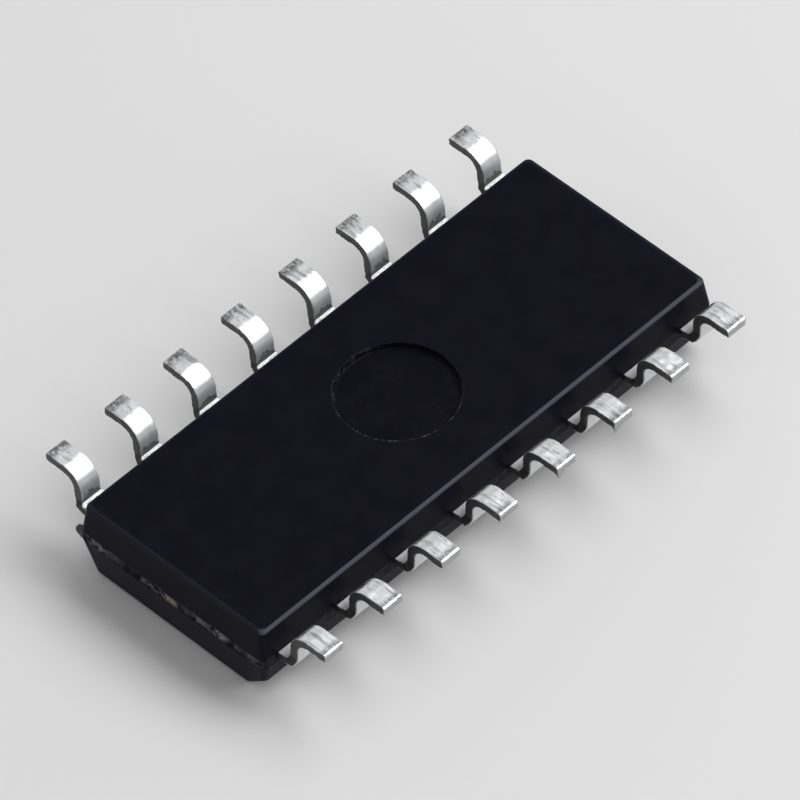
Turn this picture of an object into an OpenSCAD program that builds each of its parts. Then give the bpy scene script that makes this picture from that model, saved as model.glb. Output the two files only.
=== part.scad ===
// Small-outline integrated circuit with 16 gull-wing leads, lying belly up.
// Frame: the marked face rests on z = 0, the belly and the soles of the feet look up (+Z),
// the long axis is X, and lead 1 is at +X, -Y. The row of leads 1 to 8 is on the -Y side.
// Every piece is its own node: the mould compound is cut by all that it encloses.

/* [Moulded body] */
// Length over the parting band
body_length = 9.95; // [9.80:0.05:10.00]
// Width over the parting band
body_width = 3.95; // [3.80:0.05:4.00]
// Thickness from the marked face to the belly
body_height = 1.58; // [1.56:0.02:1.62]
// Draft of the half on the belly side, in degrees from vertical
belly_draft = 7; // [5:0.5:9]
// Draft of the half on the marked side, in degrees from vertical
marked_draft = 10; // [7:0.5:12]
// Radius of the belly's long and short edges
belly_edge_radius = 0.07; // [0.04:0.01:0.10]
// Radius of the marked face's end edges
marked_edge_radius = 0.05; // [0.03:0.01:0.08]
// Height of the upright parting band between the two drafted halves
band_height = 0.20; // [0.19:0.01:0.24]
// Height and depth of the 45 degree bevel that marks the row of lead 1
bevel_size = 0.45; // [0.25:0.05:0.50]

/* [Mould marks] */
// Diameter of the ejector-pin recess in the belly
recess_diameter = 2.0; // [1.6:0.1:2.2]
// Depth of the ejector-pin recess
recess_depth = 0.08; // [0.04:0.01:0.12]
// Diameter of the index dimple beside lead 1 on the marked face
dimple_diameter = 0.7; // [0.5:0.1:0.9]
// Depth of the index dimple
dimple_depth = 0.07; // [0.04:0.01:0.10]

/* [Leads] */
// Pitch from lead to lead
lead_pitch = 1.27; // [1.27:0.01:1.27]
// Span over the tips of both rows
tip_span = 6.0; // [5.90:0.05:6.20]
// Width of the lead outside the body
lead_width = 0.40; // [0.35:0.01:0.45]
// Thickness of the plated leadframe
lead_thickness = 0.17; // [0.17:0.01:0.20]
// Height of the leadframe's mid-plane above the marked face
lead_plane = 0.92; // [0.90:0.01:0.94]
// Height of the soles above the belly, which is the stand-off on a board
standoff = 0.16; // [0.12:0.01:0.20]
// Straight shoulder between the body and the first bend
shoulder_length = 0.035; // [0.02:0.005:0.05]
// Mid-line radius of the bend at the shoulder
ankle_radius = 0.315; // [0.26:0.005:0.315]
// Mid-line radius of the bend at the heel
heel_radius = 0.305; // [0.26:0.005:0.305]
// Lean of the leg away from the body, in degrees from vertical
leg_lean = 2; // [0:1:5]

/* [Inside the package] */
// Length of the die pad
pad_length = 3.7; // [3.4:0.1:3.8]
// Width of the die pad
pad_width = 2.2; // [2.0:0.1:2.3]
// Downset of the die pad towards the belly
pad_downset = 0.20; // [0.16:0.01:0.24]
// Width of the tie bars that held the die pad in the leadframe
tie_bar_width = 0.30; // [0.24:0.02:0.32]
// Length of the die
die_length = 1.9; // [1.6:0.1:2.2]
// Width of the die
die_width = 1.4; // [1.2:0.1:1.6]
// Thickness of the die
die_thickness = 0.26; // [0.20:0.02:0.28]
// Thickness of the die-attach layer
attach_thickness = 0.02; // [0.02:0.005:0.03]
// Diameter of the bond wires
wire_diameter = 0.026; // [0.02:0.002:0.032]
// Rise of the wire loops above the die
loop_height = 0.24; // [0.18:0.02:0.28]

/* [Hidden] */
$fn = 64;
LEADS_PER_SIDE = 8;
LEAD_COUNT = 2 * LEADS_PER_SIDE;

function two_digits(i) = str(i < 10 ? "0" : "", i);
function lead_name(i) = str("lead_", two_digits(i));
function wire_name(i) = str("bond_wire_", two_digits(i));

// Body outline
half_length = body_length / 2;
half_width = body_width / 2;
band_low = lead_plane - band_height / 2;
band_high = lead_plane + band_height / 2;
marked_inset = band_low * tan(marked_draft);
belly_inset = (body_height - band_high) * tan(belly_draft);
// Draft carries the side in by this much at the top of the bevel
bevel_inset = (band_low - bevel_size) * tan(marked_draft);
CUT = 1;        // overshoot of cutting bodies
SINK = 0.005;   // how far a cavity reaches into the one it opens into
CORNER_STEPS = 5;

// Lead side view
lead_half = lead_thickness / 2;
bend_angle = 90 - leg_lean;
sole_height = body_height + standoff;
rise = sole_height - lead_half - lead_plane;
leg_length = (rise - (ankle_radius + heel_radius) * (1 - cos(bend_angle))) / sin(bend_angle);
ankle_start = [half_width + shoulder_length, lead_plane];
ankle_center = ankle_start + [0, ankle_radius];
ankle_end = ankle_start + ankle_radius * [sin(bend_angle), 1 - cos(bend_angle)];
leg_end = ankle_end + leg_length * [cos(bend_angle), sin(bend_angle)];
heel_center = leg_end + heel_radius * [sin(bend_angle), -cos(bend_angle)];
tip_reach = tip_span / 2;
BEND_STEPS = 12;

// Heights of the inner stack, from the pad down to the die's active face
pad_plane = lead_plane + pad_downset;
attach_top = pad_plane - lead_half;
attach_margin = 0.04;
die_top = attach_top - attach_thickness;
active_face = die_top - die_thickness;
finger_face = lead_plane - lead_half;

// The tie bars step from the leadframe's plane to the pad's between these distances from the middle
pad_step_end = pad_length / 2 + 0.27;
pad_step_start = pad_step_end + 0.30;

// Inner fingers of one quarter, from the middle of the row to its end. Each is a mid-line in plan.
finger_gap = 0.26;
finger_front = pad_width / 2 + finger_gap;
finger_side = pad_length / 2 + finger_gap + 0.05;
finger_width = 0.32;
finger_tip_width = 0.26;
function lead_x(k) = (k + 0.5) * lead_pitch;
finger_lines = [
    [[lead_x(0), 1.60], [0.56, finger_front]],
    [[lead_x(1), 1.74], [1.47, 1.52], [1.47, finger_front]],
    [[lead_x(2), 1.60], [2.50, 1.02], [finger_side, 0.96]],
    [[lead_x(3), 1.44], [3.30, 0.58], [finger_side, 0.46]]
];

// Wire bonds of one quarter: pads on the die, and stitches a little way in from the finger tips
bond_inset = 0.10;
edge_y = die_width / 2 - bond_inset;
edge_x = die_length / 2 - bond_inset;
die_bonds = [
    [0.25, edge_y],
    [0.70, edge_y],
    [edge_x, edge_y - 0.24],
    [edge_x, edge_y - 0.48]
];
stitch_setback = 0.09;
ball_radius = 0.034;
ball_height = 0.016;
WIRE_SIDES = 6;
WIRE_STEPS = 9;

// Lead i: 1 to 8 run along -Y from +X to -X, 9 to 16 run back along +Y
function on_lead_one_side(i) = i <= LEADS_PER_SIDE;
function row_place(i) = on_lead_one_side(i) ? i - 1 : LEAD_COUNT - i;
function signed_x(i) = (LEADS_PER_SIDE - 1) / 2 - row_place(i);
function quarter_index(i) = abs(signed_x(i)) - 0.5;
function side_of(i) = [sign(signed_x(i)), on_lead_one_side(i) ? -1 : 1];
function mirrored(p, s) = [p[0] * s[0], p[1] * s[1]];

function unit(v) = v / norm(v);
function left_of(v) = [-v[1], v[0]];
function last(p) = p[len(p) - 1];

// Offset from a mid-line point to the ribbon's left edge, for a ribbon of half width 1
function miter(p, i) =
    let (before = unit(p[max(i, 1)] - p[max(i, 1) - 1]))
    let (after = unit(p[min(i, len(p) - 2) + 1] - p[min(i, len(p) - 2)]))
    let (middle = unit(before + after))
    left_of(middle) / (middle * before);

// Flat ribbon of varying width along a mid-line, with mitred corners
module ribbon(p, widths) {
    n = len(p) - 1;
    polygon(concat(
        [for (i = [0 : n]) p[i] + miter(p, i) * widths[i] / 2],
        [for (i = [n : -1 : 0]) p[i] - miter(p, i) * widths[i] / 2]
    ));
}

// Closed outline with each corner rounded to its own radius; a radius of 0 keeps the corner sharp
function rounded(points, radii) =
    let (n = len(points))
    [
        for (i = [0 : n - 1])
            let (back = unit(points[(i + n - 1) % n] - points[i]))
            let (ahead = unit(points[(i + 1) % n] - points[i]))
            each radii[i] == 0 ? [points[i]] : corner_arc(points[i], back, ahead, radii[i])
    ];

// Arc that is tangent to both edges of a corner; back and ahead are unit directions away from it
function corner_arc(corner, back, ahead, radius) =
    let (half_angle = acos(back * ahead) / 2)
    let (center = corner + unit(back + ahead) * radius / sin(half_angle))
    let (from = corner + back * radius / tan(half_angle) - center)
    let (to = corner + ahead * radius / tan(half_angle) - center)
    let (sweep = 180 - 2 * half_angle)
    [
        for (i = [0 : CORNER_STEPS])
            let (t = i / CORNER_STEPS)
            center + (sin((1 - t) * sweep) * from + sin(t * sweep) * to) / sin(sweep)
    ];

// ---------- mould compound ----------

// Outline seen along Y: drafted both ways from the parting band
module long_view() {
    low = half_length - marked_inset;
    high = half_length - belly_inset;
    polygon(rounded(
        [
            [-low, 0], [low, 0],
            [half_length, band_low], [half_length, band_high],
            [high, body_height], [-high, body_height],
            [-half_length, band_high], [-half_length, band_low]
        ],
        [marked_edge_radius, marked_edge_radius, 0, 0, belly_edge_radius, belly_edge_radius, 0, 0]
    ));
}

// Outline seen along X: as above, with the lead 1 bevel along the marked face at -Y
module end_view() {
    low = half_width - marked_inset;
    high = half_width - belly_inset;
    bevel_y = -half_width + bevel_inset;
    polygon(rounded(
        [
            [bevel_y, bevel_size], [bevel_y + bevel_size, 0],
            [low, 0],
            [half_width, band_low], [half_width, band_high],
            [high, body_height], [-high, body_height],
            [-half_width, band_high], [-half_width, band_low]
        ],
        [0, 0, marked_edge_radius, 0, 0, belly_edge_radius, belly_edge_radius, 0, 0]
    ));
}

module moulded_block() {
    intersection() {
        rotate([90, 0, 0])
            linear_extrude(height = body_width + 2 * CUT, center = true) long_view();
        rotate([90, 0, 90])
            linear_extrude(height = body_length + 2 * CUT, center = true) end_view();
    }
}

module ejector_recess() {
    translate([0, 0, body_height - recess_depth])
        cylinder(d = recess_diameter, h = recess_depth + CUT);
}

module index_dimple() {
    translate([signed_x(1) * lead_pitch - 0.35, -half_width + 1.15, -CUT])
        cylinder(d = dimple_diameter, h = dimple_depth + CUT);
}

module mold_body() {
    color([0.035, 0.035, 0.045])
    difference() {
        moulded_block();
        ejector_recess();
        index_dimple();
        for (i = [1 : LEAD_COUNT]) lead_solid(i);
        die_pad_solid();
        die_attach_solid(SINK);
        die_solid(SINK);
        for (i = [1 : LEAD_COUNT]) wire_solid(i, SINK);
    }
}

// ---------- leadframe ----------

// Points along one bend of the mid-line, between two angles about its centre
function bend(center, radius, from_angle, to_angle) = [
    for (i = [0 : BEND_STEPS])
        let (angle = from_angle + (to_angle - from_angle) * i / BEND_STEPS)
        center + radius * [cos(angle), sin(angle)]
];

// Side view of a lead: inner finger, shoulder, ankle bend, leaning leg, heel bend and flat foot
module gull_wing_view() {
    line = concat(
        [[0, lead_plane]],
        bend(ankle_center, ankle_radius, -90, -90 + bend_angle),
        bend(heel_center, heel_radius, 90 + bend_angle, 90),
        [[tip_reach, sole_height - lead_half]]
    );
    ribbon(line, [for (p = line) lead_thickness]);
}

// Stamped outline of a lead in plan, longer than the foot by the overshoot
module lead_outline(k) {
    line = concat([[lead_x(k), tip_reach + CUT]], finger_lines[k]);
    last_step = len(line) - 1;
    widths = [
        for (i = [0 : last_step]) i < 2 ? lead_width : i < last_step ? finger_width : finger_tip_width
    ];
    ribbon(line, widths);
}

module lead_solid(i) {
    k = quarter_index(i);
    s = side_of(i);
    mirror([s[0] < 0 ? 1 : 0, 0, 0])
    mirror([0, s[1] < 0 ? 1 : 0, 0])
    intersection() {
        linear_extrude(height = sole_height + CUT) lead_outline(k);
        rotate([90, 0, 90])
            linear_extrude(height = body_length) gull_wing_view();
    }
}

module lead(i) {
    color([0.80, 0.80, 0.79]) lead_solid(i);
}

// Side view of the die pad and its tie bars, which step down to the pad at both ends
module pad_view() {
    half = [
        [pad_step_end, pad_plane],
        [pad_step_start, lead_plane],
        [half_length, lead_plane]
    ];
    line = concat([for (i = [2 : -1 : 0]) [-half[i][0], half[i][1]]], half);
    ribbon(line, [for (p = line) lead_thickness]);
}

// Stamped outline of the die pad and its tie bars in plan
module pad_outline() {
    square([pad_length, pad_width], center = true);
    square([body_length + 2 * CUT, tie_bar_width], center = true);
}

module die_pad_solid() {
    intersection() {
        linear_extrude(height = body_height) pad_outline();
        rotate([90, 0, 0])
            linear_extrude(height = body_width, center = true) pad_view();
    }
}

module die_pad() {
    color([0.72, 0.45, 0.28]) die_pad_solid();
}

// ---------- die and its bonds ----------

// With a sink, the layer goes on into the die pad
module die_attach_solid(sink = 0) {
    length = die_length + 2 * attach_margin;
    width = die_width + 2 * attach_margin;
    translate([-length / 2, -width / 2, die_top])
        cube([length, width, attach_thickness + sink]);
}

module die_attach() {
    color([0.62, 0.62, 0.60]) die_attach_solid();
}

// With a sink, the die goes on into the attach layer
module die_solid(sink = 0) {
    translate([-die_length / 2, -die_width / 2, active_face])
        cube([die_length, die_width, die_thickness + sink]);
}

module die() {
    color([0.22, 0.24, 0.30]) die_solid();
}

// Cubic curve through the loop, as [distance along the span, height]
function loop_point(t, span) =
    let (u = 1 - t)
    let (start = active_face - ball_height)
    3 * u * u * t * [0, start - loop_height]
    + u * u * u * [0, start]
    + 3 * u * t * t * [0.5 * span, start - 0.7 * loop_height]
    + t * t * t * [span, finger_face];

// Point of a ring in the wire's own plane, and a line carried on past a point to a height
function ring_point(ring, angle) = ring[0] + ring[1] * ring[2] * cos(angle);
function carried_on(from, to, height) = to + (to - from) * (height - to[1]) / (to[1] - from[1]);

// Wire of one quarter: a ball on the die, the loop, and a stitch cut off flat by the finger.
// With a sink, both ends go on into the die and the finger.
module wire(k, sink) {
    line = finger_lines[k];
    stitch = last(line) - stitch_setback * unit(last(line) - line[len(line) - 2]);
    pad = die_bonds[k];
    span = norm(stitch - pad);
    along = unit(stitch - pad);
    across = left_of(along);
    path = [for (i = [0 : WIRE_STEPS]) loop_point(i / WIRE_STEPS, span)];
    slope_end = unit(path[WIRE_STEPS] - path[WIRE_STEPS - 1]);
    radius = wire_diameter / 2;
    stitch_length = radius / slope_end[1];
    // Each ring: centre on the path, direction of its in-plane axis, and its two half axes
    rings = concat(
        [
            [[0, active_face + sink], [1, 0], ball_radius, ball_radius],
            [[0, active_face - ball_height * 0.6], [1, 0], ball_radius, ball_radius]
        ],
        [
            for (i = [0 : WIRE_STEPS - 1])
                let (run = path[max(i, 1)] - path[max(i, 1) - 1])
                let (on = unit(unit(run) + unit(path[i + 1] - path[i])))
                [path[i], i == 0 ? [1, 0] : [-on[1], on[0]], radius, radius]
        ],
        [[path[WIRE_STEPS], [-1, 0], stitch_length, radius]]
    );
    ring_count = len(rings);
    points = [
        for (i = [0 : ring_count - 1], j = [0 : WIRE_SIDES - 1])
            let (angle = 360 * j / WIRE_SIDES)
            let (here = ring_point(rings[i], angle))
            let (before = ring_point(rings[max(i - 1, 0)], angle))
            let (flat = i < ring_count - 1 ? here : carried_on(before, here, finger_face + sink))
            let (plan = pad + along * flat[0] + across * rings[i][3] * sin(angle))
            [plan[0], plan[1], flat[1]]
    ];
    walls = [
        for (i = [0 : ring_count - 2], j = [0 : WIRE_SIDES - 1])
            let (a = i * WIRE_SIDES + j)
            let (b = i * WIRE_SIDES + (j + 1) % WIRE_SIDES)
            each [[a, b, b + WIRE_SIDES], [a, b + WIRE_SIDES, a + WIRE_SIDES]]
    ];
    caps = [
        [for (j = [WIRE_SIDES - 1 : -1 : 0]) j],
        [for (j = [0 : WIRE_SIDES - 1]) (ring_count - 1) * WIRE_SIDES + j]
    ];
    polyhedron(points, concat(walls, caps));
}

module wire_solid(i, sink = 0) {
    s = side_of(i);
    mirror([s[0] < 0 ? 1 : 0, 0, 0])
    mirror([0, s[1] < 0 ? 1 : 0, 0])
        wire(quarter_index(i), sink);
}

module bond_wire(i) {
    color([0.90, 0.72, 0.28]) wire_solid(i);
}

mold_body();
for (i = [1 : LEAD_COUNT]) lead(i);
die_pad();
die_attach();
die();
for (i = [1 : LEAD_COUNT]) bond_wire(i);
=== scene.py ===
import math

import bpy
import numpy as np
from mathutils import Matrix, Vector


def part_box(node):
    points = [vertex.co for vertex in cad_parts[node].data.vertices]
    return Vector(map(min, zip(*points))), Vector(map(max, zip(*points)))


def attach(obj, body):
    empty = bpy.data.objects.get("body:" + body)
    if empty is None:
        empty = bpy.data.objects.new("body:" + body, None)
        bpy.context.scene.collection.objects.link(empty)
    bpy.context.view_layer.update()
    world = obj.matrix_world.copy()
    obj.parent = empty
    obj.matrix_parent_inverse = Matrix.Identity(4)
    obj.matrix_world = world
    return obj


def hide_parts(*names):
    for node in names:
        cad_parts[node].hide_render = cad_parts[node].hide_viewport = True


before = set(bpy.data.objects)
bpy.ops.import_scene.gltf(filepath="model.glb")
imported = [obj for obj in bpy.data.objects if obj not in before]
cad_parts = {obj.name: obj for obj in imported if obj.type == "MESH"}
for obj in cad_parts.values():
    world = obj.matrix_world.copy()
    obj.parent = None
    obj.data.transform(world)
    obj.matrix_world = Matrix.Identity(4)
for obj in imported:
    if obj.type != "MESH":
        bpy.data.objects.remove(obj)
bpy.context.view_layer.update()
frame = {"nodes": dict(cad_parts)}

bl_info = {
    "name": "Gull-wing chip package",
    "version": (1, 0, 0),
    "blender": (4, 5, 0),
    "location": "3D View > Sidebar > Chip package",
    "description": "Dresses a belly-up small-outline package with a moulded shell, plated leads and finishes",
    "category": "Add Mesh",
}

MM = 0.001
MICRON = 0.000001
_, BODY_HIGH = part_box("mold_body")
_, LEAD_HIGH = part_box("lead_09")
LEADS_PER_SIDE = 8
LEAD_COUNT = 2 * LEADS_PER_SIDE
LEAD_PLANE = 0.92 * MM
LEAD_SHEET = 0.17 * MM
TIE_BAR_WIDTH = 0.30 * MM


def measure(name, description, default, **limits):
    """A number property."""
    return bpy.props.FloatProperty(name=name, description=description, default=default, **limits)


def length(name, description, default):
    """A length property, in metres."""
    return measure(name, description, default, min=0, precision=6, unit="LENGTH")


def angle(name, description, degrees):
    """An angle property, written in degrees and kept in radians."""
    return measure(name, description, math.radians(degrees), unit="ROTATION")


def colour(name, description, default):
    """A colour property of three linear parts."""
    return bpy.props.FloatVectorProperty(
        name=name, description=description, default=default, size=3, min=0, max=1, subtype="COLOR"
    )


def amount(name, description, default):
    """A share from 0 to 1."""
    return measure(name, description, default, min=0, max=1, subtype="FACTOR")


class ShellSizes(bpy.types.PropertyGroup):
    """Sizes of the moulded shell."""

    half_length: length("Half length", "From the middle to the end face", BODY_HIGH.x)
    half_width: length("Half width", "From the middle to the long face", BODY_HIGH.y)
    height: length("Height", "From the marked face to the belly", BODY_HIGH.z)
    end_gap: length("End gap", "How far the end faces stay behind the cut ends of the tie bars", 0.006 * MM)
    belly_draft: angle("Belly draft", "Lean of the sides above the parting band", 7)
    marked_draft: angle("Marked draft", "Lean of the sides below the parting band", 10)
    band_low: length("Band low", "Lower edge of the parting band", 0.82 * MM)
    band_high: length("Band high", "Upper edge of the parting band", 1.02 * MM)
    belly_edge: length("Belly edge", "Radius round the belly", 0.045 * MM)
    marked_edge: length("Marked edge", "Radius round the marked face", 0.12 * MM)
    corner: length("Corner", "Radius of the upright corners", 0.10 * MM)
    bevel: length("Bevel", "Height and depth of the bevel on the row of lead 1", 0.45 * MM)
    bevel_edge: length("Bevel edge", "Softness of the bevel's upper edge", 0.012 * MM)
    band_roughness: length("Band roughness", "Depth of the broken face of the end bands", 0.035 * MM)
    recess_radius: length("Recess radius", "Radius of the ejector-pin recess", 1.0 * MM)
    recess_depth: length("Recess depth", "Depth of the ejector-pin recess", 0.11 * MM)
    dimple_x: length("Dimple place", "Place of the index dimple along the body", 4.095 * MM)
    dimple_inset: length("Dimple inset", "From the long face of lead 1 to the index dimple", 1.15 * MM)
    dimple_radius: length("Dimple radius", "Radius of the index dimple", 0.35 * MM)
    dimple_depth: length("Dimple depth", "Depth of the index dimple", 0.07 * MM)


class LeadSizes(bpy.types.PropertyGroup):
    """Sizes of a plated lead."""

    pitch: length("Pitch", "From lead to lead", 1.27 * MM)
    width: length("Width", "Width outside the body", 0.40 * MM)
    thickness: length("Thickness", "Thickness of the plated sheet", LEAD_SHEET)
    plane: length("Plane", "Height of the mid-plane above the marked face", LEAD_PLANE)
    tip: length("Tip", "From the middle of the body to the tips", LEAD_HIGH.y)
    sole: length("Sole", "Height of the soles above the marked face", LEAD_HIGH.z)
    shoulder: length("Shoulder", "Straight run outside the body", 0.035 * MM)
    ankle: length("Ankle", "Mid-line radius of the bend at the shoulder", 0.315 * MM)
    heel: length("Heel", "Mid-line radius of the bend at the heel", 0.305 * MM)
    lean: angle("Lean", "Lean of the leg away from the body", 2)
    tip_edge: length("Tip edge", "Radius of the sole's edge at the tip", 0.023 * MM)
    sheared_edge: length("Sheared edge", "Radius of the edges on the sole's side", 0.014 * MM)
    rolled_edge: length("Rolled edge", "Radius of the edges on the other side", 0.028 * MM)
    dam_stub: length("Dam-bar stub", "How far the cut dam bar stands out beside the lead", 0.03 * MM)
    dam_place: length("Dam-bar place", "From the body to the middle of the stubs, along the lead", 0.31 * MM)
    dam_reach: length("Dam-bar reach", "Half the length of the stubs", 0.10 * MM)
    leg_place: length("Leg place", "From the body to the leg between the bends, along the lead", 0.6 * MM)
    pool_depth: length("Tin pool", "Depth of the tin in the hollow of the ankle bend", 0.042 * MM)
    pool_start: angle("Pool start", "Turn of the ankle bend at which the tin pool starts", 34)
    pool_end: angle("Pool end", "Turn of the ankle bend at which the tin pool ends", 70)
    crease_start: angle("Crease start", "Turn of the ankle bend at which the crease starts", 68)
    crease_bow: length("Crease bow", "Rise of the crease over the middle of the leg", 0.15 * MM)
    polish_end: angle("Polish end", "Turn beyond which the heel bend isn't polished", 61)


class Finishes(bpy.types.PropertyGroup):
    """Colours of the finishes, and the compound's refractive index."""

    compound: colour("Compound", "Mould compound", (0.0026, 0.0024, 0.0070))
    compound_pale: colour("Pale compound", "Mottling of the compound", (0.0056, 0.0053, 0.0104))
    # Worn edge: paler than the compound, a painted highlight along the rubbed belly rim
    worn: colour("Worn edge", "Rubbed long edge of the belly", (0.058, 0.060, 0.078))
    pin_face: colour("Pin face", "Compound pressed by the ejector pin", (0.0029, 0.0027, 0.0066))
    # Broken compound: the paler broken face of the parting band, with pale patches that are also painted
    # glints; also the colour of the painted highlight crumbs on the recess lip
    broken_and_glint: colour("Broken compound", "Broken face of the parting band", (0.15, 0.15, 0.17))
    compound_index: measure("Compound index", "Refractive index of the compound", 1.13, min=1, max=2)
    tin: colour("Tin", "Matt tin plating", (0.69, 0.70, 0.71))
    tin_bright: colour("Burnished tin", "Tin on the soles", (0.90, 0.91, 0.93))
    tin_dull: colour("Dull tin", "Streaks in the plating", (0.42, 0.43, 0.45))
    sheared: colour("Sheared sides", "Dull punched sides of the leads", (0.032, 0.029, 0.027))
    scuffed: colour("Scuffed tin", "Dark scuffs at the tips", (0.17, 0.17, 0.165))
    pooled: colour("Pooled tin", "White tin that gathered in the ankle bend", (0.95, 0.96, 0.97))
    # Crease: painted shade in the crease above the pooled tin
    crease_shade: colour("Crease", "Dark crease above the pooled tin", (0.026, 0.025, 0.024))
    copper: colour("Copper", "Bare leadframe", (0.62, 0.36, 0.22))
    copper_dark: colour("Tarnish", "Tarnished leadframe", (0.13, 0.105, 0.08))
    cut_copper: colour("Cut copper", "Cut ends of the tie bars", (0.34, 0.30, 0.22))
    epoxy: colour("Attach epoxy", "Silver-filled die attach", (0.50, 0.49, 0.46))
    silicon: colour("Silicon", "Die", (0.10, 0.115, 0.15))
    gold: colour("Gold", "Bond wires", (0.93, 0.68, 0.27))
    floor: colour("Floor", "Pale floor", (0.68, 0.68, 0.68))


class StageSizes(bpy.types.PropertyGroup):
    """The camera's place round the package, and the sky's brightness."""

    azimuth: angle("Azimuth", "Camera direction round the upright axis", -43.844)
    elevation: angle("Elevation", "Camera height above the horizon", 48.783)
    roll: angle("Roll", "Turn of the camera about its axis", -2.627)
    distance: length("Distance", "From the camera to the point it looks at", 173.57 * MM)
    look_height: length("Look height", "Height of the point it looks at", 0.7 * MM)
    shift_right: length("Shift right", "How far that point is moved to the camera's right", 0.015 * MM)
    shift_up: length("Shift up", "How far that point is moved up in the camera's view", 0.447 * MM)
    lens: measure("Lens", "Focal length", 505.8, unit="CAMERA")
    low_sky: amount("Low sky", "Brightness of the sky near the horizon", 0.80)
    high_sky: amount("High sky", "Brightness of the sky overhead", 0.34)


# ---------- surfaces ----------


def waves(points, size, seed, count=32):
    """Smooth random heights of about -1 to 1: a sum of sine waves that run in random directions, each with a
    length near size and a random phase."""
    draw = np.random.default_rng(seed)
    direction = draw.normal(size=(count, 3))
    direction /= np.linalg.norm(direction, axis=1)[:, None]
    pace = 2 * math.pi / (size * draw.uniform(0.6, 1.6, count))
    phase = draw.uniform(0, 2 * math.pi, count)
    return np.sin((points @ direction.T) * pace + phase).sum(-1) * (1.4 / math.sqrt(count))


def ramp(value, start, end):
    """The share of the way from start to end, held at 0 and 1."""
    return np.clip((value - start) / (end - start), 0, 1)


def hump(value, middle, reach, power=2):
    """1 in the middle, falling to 0 on both sides of it beyond its reach. A higher power gives a flatter
    top."""
    return np.exp(-(((value - middle) / reach) ** power))


def new_object(name, data):
    """A new object in the scene."""
    made = bpy.data.objects.new(name, data)
    bpy.context.scene.collection.objects.link(made)
    return made


def closed_grid(name, rings, first_pole, last_pole, facts):
    """A closed surface. Point j of ring i is rings[i, j]; each ring is joined to the next, and its last point
    to its first, and a fan on a pole closes either end. The sign of its volume turns it to face outwards.
    facts holds point attributes, with the two poles' values last."""
    rows, columns, _ = rings.shape
    points = np.vstack([rings.reshape(-1, 3), first_pole, last_pole])
    i = np.arange(rows - 1)[:, None] * columns
    j = np.arange(columns)[None, :]
    beside = (j + 1) % columns
    quads = np.stack([i + j, i + beside, i + beside + columns, i + j + columns], -1).reshape(-1, 4)
    end = (rows - 1) * columns
    first = np.full(columns, rows * columns)
    fans = np.vstack([np.c_[first, beside[0], j[0]], np.c_[first + 1, end + j[0], end + beside[0]]])
    halves = np.vstack([quads[:, [0, 1, 2]], quads[:, [0, 2, 3]], fans])
    a, b, c = (points[halves[:, n]] for n in range(3))
    if (a * np.cross(b, c)).sum() < 0:
        quads, fans = quads[:, ::-1], fans[:, ::-1]

    mesh = bpy.data.meshes.new(name)
    mesh.vertices.add(len(points))
    mesh.vertices.foreach_set("co", points.astype(np.float32).ravel())
    mesh.loops.add(quads.size + fans.size)
    mesh.loops.foreach_set("vertex_index", np.concatenate([quads.ravel(), fans.ravel()]).astype(np.int32))
    starts = np.concatenate([np.arange(len(quads)) * 4, quads.size + np.arange(len(fans)) * 3])
    mesh.polygons.add(len(starts))
    mesh.polygons.foreach_set("loop_start", starts.astype(np.int32))
    mesh.polygons.foreach_set("use_smooth", np.ones(len(starts), bool))
    mesh.update(calc_edges=True)
    for fact, values in facts.items():
        kind, key = ("FLOAT", "value") if values.ndim == 1 else ("FLOAT_VECTOR", "vector")
        mesh.attributes.new(fact, kind, "POINT").data.foreach_set(key, values.astype(np.float32).ravel())
    if mesh.validate():
        raise RuntimeError(name + " has faults in its faces")
    return new_object(name, mesh)


def round_rectangle(side_counts, corner_count):
    """Columns of a rectangle with round corners, as seen from each column: the place along both middles, from
    -1 to 1, and the unit direction in which the corner radius is added."""
    along_x, along_y, turn = [], [], []
    for quarter in range(4):
        run = np.linspace(-1, 1, side_counts[quarter % 2] + 1)
        arc = np.linspace(0, math.pi / 2, corner_count + 1)[1:-1]
        ones = np.ones(len(run) + len(arc))
        fixed = ones * (1, 1, -1, -1)[quarter]
        moving = np.r_[run, ones[: len(arc)]] * (1, -1, -1, 1)[quarter]
        along_x.append(moving if quarter % 2 else fixed)
        along_y.append(fixed if quarter % 2 else moving)
        turn.append(np.r_[0 * run, arc] + quarter * math.pi / 2)
    turn = np.concatenate(turn)
    return np.concatenate(along_x), np.concatenate(along_y), np.cos(turn), np.sin(turn)


RIM_COUNT = 9  # rings on the rim of the belly
NEAR_EDGE = 0.006 * MM  # from an edge of the sides to the ring that keeps it crisp


def rim_centre(rise, edge, draft):
    """Inset of the centre of a rim's arc, which touches a side that leans in by its draft over the rise."""
    return rise * math.tan(draft) + edge / math.cos(draft)


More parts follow.
